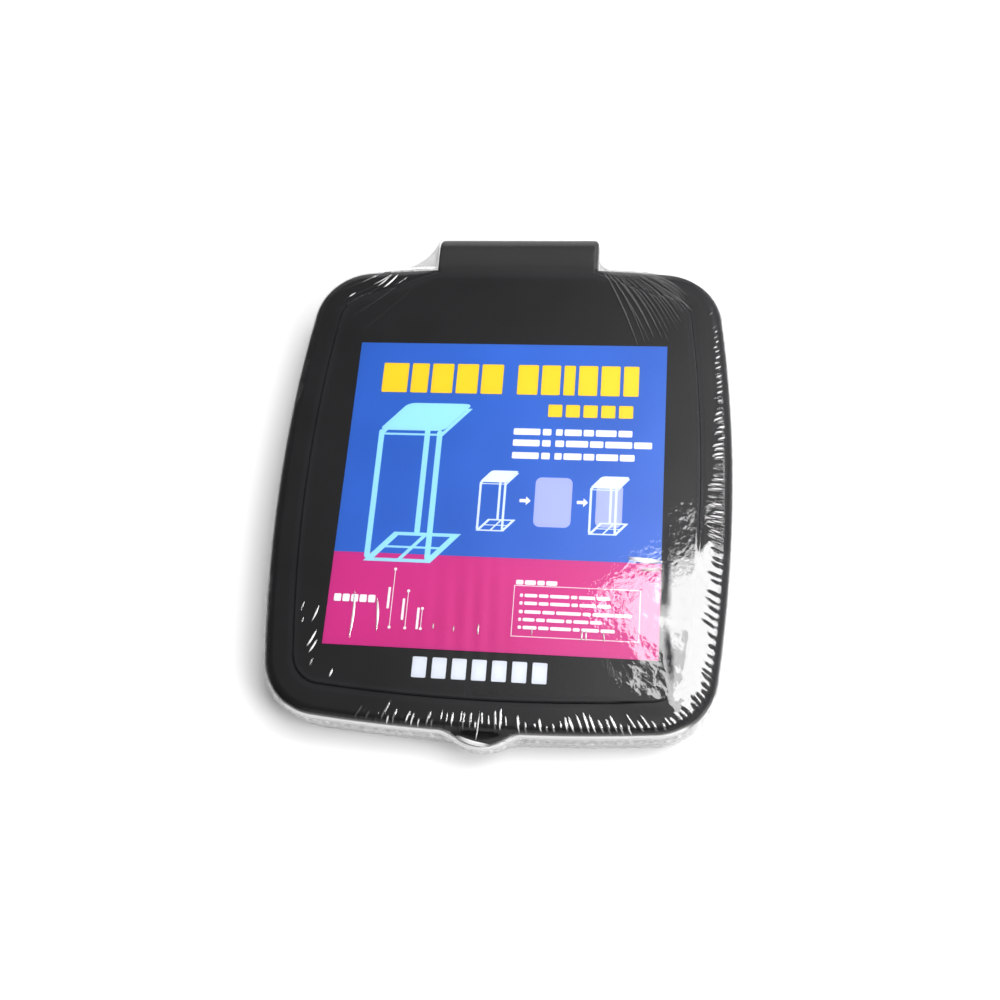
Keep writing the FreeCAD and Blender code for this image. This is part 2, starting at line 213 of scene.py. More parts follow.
# %% Moulded and extruded black
material, tree, out = new_material("moulded_polypropylene")
where = add(tree, "TexCoord")
grain = add(tree, "TexNoise", {"Scale": 1 / 0.0009, "Detail": 3.0}, {"Vector": where.outputs["Object"]})
cloud = add(tree, "TexNoise", {"Scale": 1 / 0.045, "Detail": 2.0}, {"Vector": where.outputs["Object"]})
shade = add(tree, "MapRange", {"From Min": 0.35, "From Max": 0.65, "To Min": 0.46, "To Max": 0.56},
            {"Value": cloud.outputs["Fac"]})
tint = add(tree, "MixRGB", {"Color1": linear("#161618"), "Color2": linear("#1b1b1e")},
           {"Fac": cloud.outputs["Fac"]})
bump = add(tree, "Bump", {"Strength": 0.35, "Distance": 0.00006}, {"Height": grain.outputs["Fac"]})
plastic = add(tree, "BsdfPrincipled", {"IOR": 1.49, "Specular IOR Level": 0.3}, {
    "Base Color": tint.outputs[0], "Roughness": shade.outputs[0], "Normal": bump.outputs[0]})
tree.links.new(plastic.outputs[0], out.inputs["Surface"])
moulded = material

material, tree, out = new_material("extruded_polypropylene")
where = add(tree, "TexCoord")
stretch = add(tree, "Mapping", {"Scale": (6.0, 900.0, 900.0)}, {"Vector": where.outputs["Object"]})
lines = add(tree, "TexNoise", {"Scale": 1.0, "Detail": 2.0}, {"Vector": stretch.outputs[0]})
shade = add(tree, "MapRange", {"To Min": 0.24, "To Max": 0.36}, {"Value": lines.outputs["Fac"]})
bump = add(tree, "Bump", {"Strength": 0.3, "Distance": 0.00005}, {"Height": lines.outputs["Fac"]})
plastic = add(tree, "BsdfPrincipled", {"Base Color": linear("#1c1c1e"), "IOR": 1.49}, {
    "Roughness": shade.outputs[0], "Normal": bump.outputs[0]})
tree.links.new(plastic.outputs[0], out.inputs["Surface"])
extruded = material


def finish_node(name, finish):
    """Gives one CAD solid its finish."""
    mesh = nodes[name].data
    mesh.materials.clear()
    mesh.materials.append(finish)


for name in nodes:
    finish_node(name, extruded if name.startswith("post") else moulded)
print("black solids:", sum(1 for name in nodes if "film" not in name and "card" not in name))

# %% [markdown]
# ## Card
# The card is a sheet of coated board, offset printed: blue over magenta. Offset ink is laid down in fine
# dots, which at this distance only show as a faint unevenness, and the coating gives it a satin sheen. The
# colours meet on a straight line, so one comparison of the height up the card picks the ink.

# %% Card stock with two printed fields
mm = 0.001
card_low, card_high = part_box("instruction_card")
card_middle = np.array(((card_low.x + card_high.x) / 2, (card_low.y + card_high.y) / 2))
card_top = card_high.z
colour_line = card_middle[1] - 45.5 * mm

material, tree, out = new_material("offset_printed_board")
where = add(tree, "TexCoord")
spot = add(tree, "SeparateXYZ", links={0: where.outputs["Object"]})
upper = add(tree, "Math", {1: colour_line}, {0: spot.outputs["Y"]}, operation="GREATER_THAN")
dots = add(tree, "TexNoise", {"Scale": 1 / 0.0006, "Detail": 2.0}, {"Vector": where.outputs["Object"]})
tone = add(tree, "TexNoise", {"Scale": 1 / 0.06, "Detail": 1.0}, {"Vector": where.outputs["Object"]})
blue = add(tree, "MixRGB", {"Color1": linear("#2864c2"), "Color2": linear("#3877da")},
           {"Fac": tone.outputs["Fac"]})
magenta = add(tree, "MixRGB", {"Color1": linear("#cc2888"), "Color2": linear("#d93498")},
              {"Fac": tone.outputs["Fac"]})
field = add(tree, "MixRGB", links={"Fac": upper.outputs[0], "Color1": magenta.outputs[0],
                                   "Color2": blue.outputs[0]})
speck = add(tree, "MixRGB", {"Fac": 0.06}, {"Color1": field.outputs[0], "Color2": dots.outputs["Fac"]},
            blend_type="OVERLAY")
shade = add(tree, "MapRange", {"To Min": 0.34, "To Max": 0.46}, {"Value": dots.outputs["Fac"]})
board = add(tree, "BsdfPrincipled", {"IOR": 1.46},
            {"Base Color": speck.outputs[0], "Roughness": shade.outputs[0]})
tree.links.new(board.outputs[0], out.inputs["Surface"])
finish_node("instruction_card", material)
print("card top at", round(card_top / mm, 2), "mm")

# %% [markdown]
# ## Print on the card
# The card is printed with rows of plain bars, and with plain figures of a stand and a bag. Each colour is one
# thin mesh on the card, made of flat outlines, because crisp edges are what print looks like. The outlines
# lie a hair apart in height, so that none flickers where two cross.

# %% Flat printed shapes, in card millimetres
hair = 0.004


def bar(x0, x1, y0, y1, corner=0.8):
    """Outline of a rectangle with rounded corners: a quarter circle of five points at each corner in turn."""
    corner = min(corner, (x1 - x0) / 2, (y1 - y0) / 2)
    centres = [(x1 - corner, y1 - corner), (x0 + corner, y1 - corner),
               (x0 + corner, y0 + corner), (x1 - corner, y0 + corner)]
    arcs = []
    for quarter, (x, y) in enumerate(centres):
        turn = (np.linspace(0, 1, 5) + quarter) * np.pi / 2
        arcs.append(np.stack([x + corner * np.cos(turn), y + corner * np.sin(turn)], 1))
    return np.concatenate(arcs)


def frame_bars(x0, x1, y0, y1, width):
    """Four bars round a box."""
    return [bar(x0, x1, y1 - width, y1, 0.3), bar(x0, x1, y0, y0 + width, 0.3),
            bar(x0, x0 + width, y0, y1, 0.3), bar(x1 - width, x1, y0, y1, 0.3)]


def ink(name, code, shapes, lift, roughness=0.4):
    """Flat faces in card millimetres, lifted above the board and each a hair higher, all in one colour."""
    points = np.concatenate(shapes)
    counts = [len(shape) for shape in shapes]
    height = card_top + (lift + hair * np.repeat(np.arange(len(shapes)), counts)) * mm
    flat = np.column_stack([points * mm + card_middle, height])
    starts = np.cumsum([0] + counts)
    faces = [tuple(range(a, b)) for a, b in zip(starts, starts[1:])]
    mesh = bpy.data.meshes.new(name)
    mesh.from_pydata(flat.tolist(), [], faces)
    made = bpy.data.objects.new(name, mesh)
    bpy.context.scene.collection.objects.link(made)
    material, tree, out = new_material(name + "_ink")
    where = add(tree, "TexCoord")
    dots = add(tree, "TexNoise", {"Scale": 1 / 0.0008, "Detail": 2.0}, {"Vector": where.outputs["Object"]})
    grey = add(tree, "MixRGB", {"Fac": 0.05, "Color1": linear(code)}, {"Color2": dots.outputs["Fac"]},
               blend_type="OVERLAY")
    layer = add(tree, "BsdfPrincipled", {"IOR": 1.46, "Roughness": roughness},
                {"Base Color": grey.outputs[0]})
    tree.links.new(layer.outputs[0], out.inputs["Surface"])
    mesh.materials.append(material)
    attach(made, "root")
    print(name, "shapes:", len(shapes))


def word_bars(x0, x1, y0, y1, widths, gap):
    """Row of blocks whose widths share out the length between x0 and x1."""
    widths = np.array(widths, float)
    room = x1 - x0 - gap * (len(widths) - 1)
    sizes = widths / widths.sum() * room
    starts = x0 + np.concatenate([[0], np.cumsum(sizes + gap)[:-1]])
    return [bar(a, a + w, y0, y1) for a, w in zip(starts, sizes)]


# %% Rows of bars
word_gap = 2.4
title = word_bars(-87, -4, 69, 91, [1.2, 0.8, 1.0, 1.0, 1.0], word_gap)
title += word_bars(6, 87, 69, 91, [1.1, 1, 0.6, 1, 1, 0.8], word_gap)
subtitle = word_bars(28, 84, 53, 62, [1, 1, 1, 1, 1], word_gap)
ink("yellow_bars", "#ffd726", title + subtitle, 0.03)

lines = []
for y, end in ((42, 84), (34, 97), (25, 86)):
    lines += word_bars(6, 31, y - 2.3, y + 2.3, [5, 1.6], 1.6)
    lines += word_bars(34, end, y - 2.3, y + 2.3, [2, 5, 3, 6, 4], 1.2)
notes = word_bars(15, 41, -62.6, -59.6, [2, 3, 2, 3], 0.9) + frame_bars(14, 93, -96, -63, 0.5)
for y, end in ((-69.5, 74), (-74.5, 75), (-80, 88), (-85, 70), (-90, 78)):
    notes += word_bars(18, end, y - 1.1, y + 1.1, [1, 4, 3, 6, 2, 5, 4], 0.9)
heights = word_bars(-101, -74, -78.6, -73.6, [1, 1, 1, 1, 1], 0.9)
bottom = -95
for x, top in ((-63, -55), (-53, -69), (-43, -80)):
    middle = (top + bottom) / 2
    heights += [bar(x - 0.25, x + 0.25, bottom, top, 0.2), bar(x - 1.0, x + 1.0, top - 2, top, 1.0),
                bar(x - 1.0, x + 1.0, bottom, bottom + 2, 1.0),
                bar(x - 3.2, x - 1.6, middle - 7, middle + 7, 0.5)]
ink("white_bars", "#f6f4f8", lines + notes + heights, 0.03)

# %% Plain figures of a stand and a bag


def oblique(shape, x, y):
    """Plan outline laid flat as seen from above the front: its depth runs up and to the right, shortened."""
    return np.stack([x + shape[:, 0] + 0.42 * shape[:, 1], y + 0.46 * shape[:, 1]], 1)


def post(x, y0, y1, width):
    """Upright tube."""
    return bar(x - width / 2, x + width / 2, y0, y1, width / 2)


def stand_figure(x, y, wide, tall):
    """Stand seen from above the front: lid, ring under it, three posts, and a base with a cross of spokes."""
    half, thin = wide / 2, 0.07 * wide
    ring = [oblique(part, x, y + tall - 0.26 * wide) for part in frame_bars(-half, half, -half, half, thin)]
    feet = [oblique(part, x, y + 0.23 * wide) for part in frame_bars(-half, half, -half, half, 1.6 * thin)]
    spokes = [oblique(bar(-half, half, -thin / 2, thin / 2, 0.1), x, y + 0.23 * wide),
              oblique(bar(-thin / 2, thin / 2, -half, half, 0.1), x, y + 0.23 * wide)]
    top = oblique(bar(-half, half, -half, half, 0.12 * wide), x, y + tall - 0.18 * wide)
    low, high = y + 0.04 * wide, y + tall - 0.40 * wide
    posts = [post(x - 0.66 * wide, low, high, 1.2 * thin), post(x + 0.24 * wide, low, high, 1.2 * thin),
             post(x + 0.05 * wide, y + 0.44 * wide, y + tall - 0.3 * wide, 1.2 * thin)]
    return ring + feet + spokes + posts + [top]


def bag_figure(x, y, wide, tall):
    """Bag with straight sides and a rounded foot."""
    return [bar(x - wide / 2, x + wide / 2, y, y + tall, 4.0)]


def arrow(x, y):
    """Short shaft and a three-cornered head, pointing right."""
    head = np.array([(x + 1.0, y - 3.0), (x + 4.0, y), (x + 1.0, y + 3.0)])
    return [bar(x - 3.2, x + 1.2, y - 1.1, y + 1.1, 0.2), head]


ink("pale_blue_figure", "#a9e6f8", stand_figure(-54, -51, 44, 110), 0.03)
ink("pale_figures", "#e6f2ff", stand_figure(-1, -28, 18, 41) + stand_figure(71, -28, 18, 39), 0.03)
ink("lavender_bags", "#b4bdf2", bag_figure(35, -24, 24, 34) + bag_figure(71, -23, 17, 30), 0.02)
ink("white_arrows", "#fbfbff", arrow(16.5, -6.5) + arrow(53.5, -6.5), 0.04)

# %% [markdown]
# ## Ornament on the lid
# A row of plain rounded blocks in pale ink lies in front of the card. The ink is on the raised panel, which
# is half a millimetre lower than the card's face.

# %% Ornament
panel_drop = -0.5
blocks = word_bars(-46, 38, -124.5, -111.5, [1, 1, 1, 1, 1, 1, 1], 3.4)
ink("lid_ornament", "#e9eef8", blocks, panel_drop + 0.03, 0.5)

# %% [markdown]
# ## Shrink film: the outline
# The film is a tube of thin clear plastic that was heated until it drew tight. It touches whatever sticks out
# furthest and bridges the inner corners between, such as those beside the hinge block. To find such a shape,
# each thing inside is written as a distance: negative inside it, zero on its outline and positive outside.
# Two distances are joined with a fillet, which is what stretched film does in a corner.

# %% Distances from the outlines, in millimetres from the lid's middle
lid_half_width, lid_half_length = 150.0, 163.5
side_bow, end_bow, corner_radius = 12.5, 8.2, 40.0
block_half, block_rear = 56.5, 187.0
lip_radius, lip_front = 28.0, -171.5
film_out = 0.9
web_left, web_right = 30.0, 9.0
middle_y = -7.75

bow_x, bow_y = lid_half_width - side_bow, lid_half_length - end_bow
side_radius = (side_bow ** 2 + bow_y ** 2) / (2 * side_bow)
end_radius = (end_bow ** 2 + bow_x ** 2) / (2 * end_bow)
side_centre, end_centre = lid_half_width - side_radius, lid_half_length - end_radius


def corner_centre(inset):
    """Where the side arc and the end arc meet once both are moved inwards."""
    side, end = side_radius - inset, end_radius - inset
    apart = math.hypot(side_centre, end_centre)
    along = (side ** 2 - end ** 2 + apart ** 2) / (2 * apart)
    across = math.sqrt(side ** 2 - along ** 2)
    ux, uy = -side_centre / apart, end_centre / apart
    return side_centre + along * ux - across * uy, along * uy + across * ux


centre_x, centre_y = corner_centre(corner_radius)


def lid_distance(x, y):
    """Distance from the lid's outline: the nearer of two long arcs, or beyond both the corner's circle."""
    x, y = np.abs(x), np.abs(y)
    side = np.hypot(x - side_centre, y) - side_radius
    end = np.hypot(x, y - end_centre) - end_radius
    dx, dy = x - centre_x, y - centre_y
    past_side = (centre_x - side_centre) * dy - centre_y * dx > 0
    past_end = dx * (centre_y - end_centre) - dy * centre_x > 0
    return np.where(past_side & past_end, np.hypot(dx, dy) - corner_radius, np.maximum(side, end))


def box_distance(x, y, half, low, high, radius):
    """Distance from a rectangle with rounded corners."""
    across = np.abs(x) - half + radius
    along = np.abs(y - (low + high) / 2) - (high - low) / 2 + radius
    outside = np.hypot(np.maximum(across, 0), np.maximum(along, 0))
    return outside + np.minimum(np.maximum(across, along), 0) - radius


def join(a, b, fillet):
    """Both shapes as one, with a fillet of that radius in the inner corner."""
    corner = np.hypot(np.maximum(fillet - a, 0), np.maximum(fillet - b, 0))
    return np.maximum(fillet, np.minimum(a, b)) - corner


def film_distance(x, y):
    """Distance from the film's outline: lid, block and lip with fillets, and cut off behind the block."""
    lid = lid_distance(x, y) - film_out
    block = box_distance(x, y, block_half + film_out, 0, block_rear + film_out, 4.0)
    lip = np.hypot(x, y - lip_front - lip_radius) - lip_radius - film_out
    rear = np.maximum(join(lid, block, np.where(x < 0, web_left, web_right)), y - block_rear - film_out)
    return join(rear, lip, 4.0)


off = film_distance(np.array(lid_half_width + film_out), np.array(0.0))
print("film's outline at the right:", round(float(off), 3), "mm off")

# %% [markdown]
# The outline is found along rays from the middle, by halving: a point outside moves in, a point inside moves
# out, and after thirty steps they meet. The rays are then spaced evenly along the outline, so that pleats get
# the same detail everywhere.

# %% Points round the outline
around = 2400


def along_rays(distance, turn):
    """Radius at which each ray crosses an outline, found by halving between 90 and 220 mm."""
    low, high = np.full(turn.shape, 90.0), np.full(turn.shape, 220.0)
    for _ in range(30):
        radius = (low + high) / 2
        inside = distance(radius * np.cos(turn), radius * np.sin(turn)) < 0
        low, high = np.where(inside, radius, low), np.where(inside, high, radius)
    return (low + high) / 2


fine = np.linspace(-np.pi / 2, 1.5 * np.pi, 10 * around + 1)
fine_radius = along_rays(film_distance, fine)
fine_x, fine_y = fine_radius * np.cos(fine), fine_radius * np.sin(fine)
fine_length = np.concatenate([[0], np.cumsum(np.hypot(np.diff(fine_x), np.diff(fine_y)))])
perimeter = fine_length[-1]
run = np.arange(around) / around * perimeter
turn = np.interp(run, fine_length, fine)
# The film reaches the edge at the top of its wall, and the foot, on the lid's own outline, at the floor.
edge = along_rays(film_distance, turn)
foot = along_rays(lambda x, y: lid_distance(x, y) - film_out, turn)
ray = np.stack([np.cos(turn), np.sin(turn)], 1)
edge_points = ray * edge[:, None]
step = np.roll(edge_points, -1, 0) - np.roll(edge_points, 1, 0)
outward = np.stack([step[:, 1], -step[:, 0]], 1) / np.linalg.norm(step, axis=1)[:, None]
# Slant: how much further a ray runs than the straight way in from the outline, and 1.5 at most.
slant = np.clip(1 / np.maximum((outward * ray).sum(1), 0.1), 1.0, 1.5)
print("film is", round(perimeter), "mm round, with", around, "columns")

# %% [markdown]
# ## Shrink film: the height
# Seen from above the film is a height at each point: it lies on the lid's margin, steps up on to the panel
# and the card, runs over the hinge block, and falls in a quarter circle at each edge. Where several things
# lie under one point, the highest carries the film.

# %% Height of the film over the lid
margin_level, panel_level = 43.2, 45.3
rim_round, block_round, block_side = 7.9, 11.9, 3.9
web_level = 39.2
lip_level, lip_bulge = 41.0, 9.5
panel_inset, panel_half = 20.0, 101.0
shoulder_x, shoulder_y, shoulder_facing = 56.5, 156.5, (0.3943, 0.9190)


def smooth(t):
    """Rises from 0 to 1 with no corner at either end."""
    t = np.clip(t, 0, 1)
    return t * t * (3 - 2 * t)


def rolled_edge(level, radius, depth):
    """Level that falls in a quarter circle towards an outline at depth 0, and ends upright there."""
    inward = np.clip(depth, 0, radius)
    height = level - radius + np.sqrt(radius ** 2 - (radius - inward) ** 2)
    return np.where(depth < -1e-6, 0.0, height)


def panel_distance(x, y):
    """Distance from the raised panel: the lid's outline moved inwards, or where it widens to the block."""
    plain = lid_distance(x, y) + panel_inset
    shoulder = (np.abs(x) - shoulder_x) * shoulder_facing[0] + (y - shoulder_y) * shoulder_facing[1]
    widening = np.max([shoulder, np.abs(x) - panel_half, y - shoulder_y, -y], axis=0)
    return np.minimum(plain, widening)


def slackness(x, y):
    """Where the film isn't drawn tight over the panel's edge, at the lower right: 1 there and 0 elsewhere."""
    return smooth((x - 60) / 40) * smooth((-25 - y) / 25)


def film_height(x, y):
    """Height of the smooth film, the highest of what lies under it."""
    lid_depth = film_out - lid_distance(x, y)
    lid = rolled_edge(margin_level, rim_round, lid_depth)
    off_panel = panel_distance(x, y)
    tight = smooth((0.6 - off_panel) / 2.4)
    bridged = np.clip((13.0 - off_panel) / 14.0, 0, 1)
    bridged = (bridged + smooth(bridged)) / 2
    lid = lid + (panel_level - margin_level) * (tight + slackness(x, y) * (bridged - tight))
    block_depth = -box_distance(x, y, block_half + film_out, 0, block_rear + film_out, 4.0)
    fall = np.clip(y - (block_rear + film_out - block_round), 0, block_round)
    block_top = panel_level - block_round + np.sqrt(block_round ** 2 - fall ** 2)
    block = rolled_edge(block_top, block_side, block_depth)
    # The webs lie beside the block and the lip is at the front, so each counts only there.
    depth = -film_distance(x, y)
    web = np.where((y > 140) & (np.abs(x) < 92), rolled_edge(web_level, 1.5, depth), 0)
    lip = np.where((y < -150) & (np.abs(x) < 32), rolled_edge(lip_level, lip_bulge, depth), 0)
    return np.maximum(np.maximum(lid, block), np.maximum(web, lip))


print("film over the card at", round(float(film_height(np.array(0.0), np.array(0.0))), 2), "mm")

# %% [markdown]
# ## Shrink film: waves
# Film never lies quite flat. Wide shallow waves break up the softbox's reflection. They are a sum of sines
# with chosen lengths.

# %% Waves


def waves(x, y, length, seed, count=14):
    """Sum of sines in random directions, with wavelengths near one length and a spread of about 1."""
    draw = np.random.default_rng(seed)
    heading = draw.uniform(0, np.pi, count)
    number = 2 * np.pi / (length * draw.uniform(0.7, 1.5, count))
    phase = draw.uniform(0, 2 * np.pi, count)
    total = np.zeros(np.broadcast(x, y).shape)
    for a, k, p in zip(heading, number, phase):
        total += np.sin(k * (x * np.cos(a) + y * np.sin(a)) + p)
    return total * math.sqrt(2 / count)


def patch(x, y, x0, y0, wide, tall):
    """Soft-edged oval that is 1 at its middle."""
    return np.exp(-((x - x0) / wide) ** 2 - ((y - y0) / tall) ** 2)


def film_waves(x, y):
    """Wide waves with a calm patch at the lower right, short ones round it, ripples at the card's foot."""
    inside = smooth((-film_distance(x, y) - 2) / 10)
    corner = patch(x, y, 112, -108, 26, 40)
    ripple = patch(x, y, -16, -92, 30, 30)
    calm = 1 - 0.9 * patch(x, y, 113, -104, 11, 15)
    total = calm * (0.045 * waves(x, y, 46, 3) + corner * 0.035 * waves(x, y, 15, 5))
    total += ripple * 0.10 * np.sin(2 * np.pi * (x + 0.05 * y) / 11.5 + 0.6 * np.sin(x / 9))
    return total * inside


print("waves at the lid's middle:", round(float(film_waves(np.array(0.0), np.array(0.0))), 3), "mm")

# %% [markdown]
# ## Shrink film: pleats
# Where the film had to shrink round a rounded rim it gathers into pleats. A pleat is a narrow ridge that runs
# inwards. Each has its own length, height, lean and painted highlight, kept in a table by its place round the
# rim. At the lower right they stand in the softbox's glare: there they are wider apart, and instead of a
# highlight they cut the film's mirror, so they show dark.

# %% Table of pleats
glare = smooth((-30 - fine_y) / 25) * smooth((fine_y + 135) / 20)
fine_spacing = 4.2 + smooth((fine_x - 105) / 25) * (2.0 * glare - 0.4)
fine_count = np.concatenate([[0], np.cumsum(np.diff(fine_length) / fine_spacing[1:])])
pleat_count = int(fine_count[-1])
fine_count *= pleat_count / fine_count[-1]
draw = np.random.default_rng(11)
pleat_shift = draw.uniform(-0.2, 0.2, pleat_count)
pleat_run = np.interp(np.arange(pleat_count) + 0.5 + pleat_shift, fine_count, fine_length)
pleat_spacing = np.interp(pleat_run, fine_length, fine_spacing)
pleat_x = np.interp(pleat_run, fine_length, fine_x)
pleat_y = np.interp(pleat_run, fine_length, fine_y)
at_right = smooth((pleat_x - 105) / 25)
at_front = smooth((-pleat_y - 140) / 15) * smooth((pleat_x + 85) / 25)
in_glare = at_right * smooth((-30 - pleat_y) / 25)
lower = smooth((118 - pleat_y) / 90)
over_lip = np.interp(pleat_run, run, edge - foot) * smooth((-pleat_y - 150) / 10)
pleat_begin = 2.8 + over_lip + (3.0 - 1.7 * in_glare) * at_right * (1 - at_front)
pleat_begin += draw.uniform(-0.8, 1.4, pleat_count)
pleat_length = 2.0 + 8.5 * np.clip((118 - pleat_y) / 150, 0, 1) - 3.0 * smooth((-90 - pleat_y) / 20)
pleat_length = draw.uniform(4.5, 12.0, pleat_count) * (1 - at_right) + pleat_length * at_right
pleat_length *= draw.uniform(0.75, 1.15, pleat_count)
pleat_height = 0.06 + 0.40 * np.maximum(at_right * lower, at_front) * draw.uniform(0.5, 1.0, pleat_count)
pleat_lean = draw.uniform(-0.12, 0.12, pleat_count)
# Painted highlight of each pleat, white on the right and at the front; in the glare it is below 0 and cuts
# the mirror instead.
pleat_painted_light = np.maximum(at_right * smooth((138 - pleat_y) / 20), at_front) * (1 - in_glare)
pleat_painted_light = pleat_painted_light * draw.choice([0.0, 0.3, 0.6, 0.85, 0.95, 1.0], pleat_count) - in_glare
pleat_width = 0.58 + 0.10 * at_right * lower + 0.40 * in_glare
print("pleats round the rim:", pleat_count)

# %% Ridges


def pleats(place_run, depth):
    """Ridges that run inwards from the rim, as a height and as painted light: a painted highlight above 0,
    and below it a cut in the mirror that shows dark.
    """
    u = np.interp(place_run, fine_length, fine_count)
    ridge, pleat_light = np.zeros(depth.shape), np.zeros(depth.shape)
    for neighbour in (-1, 0, 1):
        k = (np.floor(u).astype(int) + neighbour) % pleat_count
        middle = np.floor(u) + neighbour + 0.5 + pleat_shift[k]
        off = (u - middle) * pleat_spacing[k] - pleat_lean[k] * (depth - pleat_begin[k])
        t = np.clip((depth - pleat_begin[k]) / pleat_length[k], 0, 1)
        along = np.sin(np.pi * t) ** 0.5
        shape = np.exp(-(off / pleat_width[k]) ** 2) * along
        ridge = np.maximum(ridge, pleat_height[k] * shape)
        pleat_light = pleat_light + pleat_painted_light[k] * smooth((shape - 0.35) / 0.3)
    return ridge, np.clip(pleat_light, -1, 1)


# %% [markdown]
# ## Shrink film: four surfaces
# The grid's columns are the rays and its rows run from the middle out, over the rim, down the wall and under
# to the middle again. The rim and the wall need far more detail than the rest, so each is a surface of its
# own with every column, and the top and the underside use every second column. They share their border
# points. Each vertex carries two numbers for the material. The first is milk in the film, which is partly
# real and partly paints in highlights, shade and a reflection. The second is how much of its mirror the film
# keeps, called shine.

# %% Grids to meshes


def to_pack(points):
    """Millimetres from the lid's middle to metres in the pack."""
    return (points + np.array([0, middle_y, 0])) * mm


def store(mesh, name, values):
    """Keeps one number for each vertex as an attribute that the material reads."""
    layer = mesh.attributes.new(name, "FLOAT", "POINT")
    layer.data.foreach_set("value", np.ravel(values).astype(np.float32))


def closed_grid(name, points, milk_and_painted_light, shine):
    """Mesh from rows by columns of points with its last column joined to the first, and both attributes."""
    rows, columns = points.shape[:2]
    index = np.arange(rows * columns).reshape(rows, columns)
    nearer, further = index[:-1], index[1:]
    corners = [nearer, further, np.roll(further, -1, 1), np.roll(nearer, -1, 1)]
    quads = np.stack(corners, -1).reshape(-1, 4)
    mesh = bpy.data.meshes.new(name)
    mesh.vertices.add(rows * columns)
    mesh.vertices.foreach_set("co", to_pack(points.reshape(-1, 3)).astype(np.float32).ravel())
    mesh.loops.add(quads.size)
    mesh.loops.foreach_set("vertex_index", quads.astype(np.int32).ravel())
    mesh.polygons.add(len(quads))
    mesh.polygons.foreach_set("loop_start", np.arange(0, quads.size, 4, dtype=np.int32))
    mesh.update(calc_edges=True)
    mesh.validate()
    mesh.shade_smooth()
    store(mesh, "milk_and_painted_light", milk_and_painted_light)
    store(mesh, "shine", shine)
    made = bpy.data.objects.new(name, mesh)
    bpy.context.scene.collection.objects.link(made)
    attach(made, "root")
    print(name, "quads:", len(quads))
    return made


# %% [markdown]
# The film is milky in the webs beside the hinge block, where it is gathered, and its grey there paints in
# shade. The same milk paints in light: highlights on the pleats and in a line along the front edge, and,
# faintly, a sheen on the block. It mirrors less where it is pressed on to the plastic: round the sides, on
# the panel's step, on the block's rear, beside the card, and in one fold at the lower right.

# %% Film at a depth from its outline


def film_points(depth, columns):
    """Points at given depths from the film's outline, measured along the rays, with their milk, which carries
    painted light too, and their shine.
    """
    reach = edge[columns] - depth * slant[columns]
    x, y = reach * ray[columns, 0], reach * ray[columns, 1]
    ridge, pleat_light = pleats(run[columns] + 0 * depth, depth)
    tilt = np.clip(1 - depth / rim_round, 0, 1)
    z = film_height(x, y) + film_waves(x, y) + ridge * np.sqrt(1 - tilt ** 2)
    sideways = ridge * tilt
    points = np.stack([x + sideways * outward[columns, 0], y + sideways * outward[columns, 1], z], -1)
    off_lid, off_block = lid_distance(x, y), np.abs(x) - block_half
    # The webs beside the block are gathered film and milky; at their middle amounts the milk is grey, a
    # painted shade, with whiter lines along the lid's edge and, on the left, the block's side.
    bridge = (y > 150) * (off_block < 40) * smooth(off_block / 0.6) * smooth((off_lid + 0.3) / 0.6)
    border = smooth((2.0 - np.minimum(off_lid, off_block)) / 0.8) * (x < 0)
    bridge = bridge * (np.where(x < 0, 0.57, 0.35) + 0.41 * border)
    # A painted highlight: a white line along the front edge, a little greyer at its outermost rows.
    painted_front_highlight = smooth((-y - 148) / 6) * smooth((2.4 - depth) / 0.5)
    painted_front_highlight = painted_front_highlight * (1 - 0.4 * smooth((0.9 - depth) / 0.6))
    # A faint painted sheen that lightens the top of the hinge block.
    painted_block_sheen = 0.035 * smooth((y - 150) / 16) * smooth((184 - y) / 12)
    # Milk where the film is gathered, and painted highlights on the pleats, along the front edge and on the
    # block.
    milk_and_painted_light = np.clip(np.max([pleat_light, bridge, painted_front_highlight, painted_block_sheen], axis=0), 0, 1)
    step = smooth((panel_distance(x, y) + 4.5) / 1.2) * smooth((3.5 - panel_distance(x, y)) / 1.2)
    step *= 1 - slackness(x, y)
    beside_card = smooth((x - 105.8) / 1.5) * smooth((113 - x) / 2.5)
    beside_card = beside_card * smooth((y + 86) / 10) * smooth((-20 - y) / 15)
    leaf = smooth(1.6 - np.hypot((x - 112.5 + 0.11 * (y + 110)) / 1.9, (y + 110) / 14))
    front = smooth((-y - 130) / 15)
    upper_right = smooth((x - 100) / 20) * smooth((y + 50) / 15)
    shine = 1 - 0.65 * (1 - front) * smooth((7.5 - depth) / 4) + 0 * z
    shine *= (1 - 0.85 * upper_right * smooth((12.5 - depth) / 1.5)) * (1 - 0.8 * smooth((y - 183) / 3))
    pressed = (1 - 0.98 * step) * (1 - 0.95 * beside_card) * (1 - 0.98 * leaf)
    # Below 0 the pleats' painted light cuts the mirror, so they show dark in the glare.
    shine *= pressed * (1 + 0.97 * np.minimum(pleat_light, 0))
    return points, milk_and_painted_light, shine


# %% The rim, whose rows lie closest on the panel's step and where it rounds off
top_border = 26.0
every = np.arange(around)
flat_depths = np.concatenate([[top_border, 24.8, 23.8, 23.0], np.arange(22.4, 18.0, -0.55),
                              np.linspace(17.6, 8.6, 10)])
round_depths = rim_round * (1 - np.sin(np.linspace(0.02, 1, 9) * np.pi / 2))
depths = np.concatenate([flat_depths, round_depths])[:, None]
rim, rim_milk_and_light, rim_shine = film_points(depths, every)
film_rim = closed_grid("film_rim", rim, rim_milk_and_light, rim_shine)
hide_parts("shrink_film")

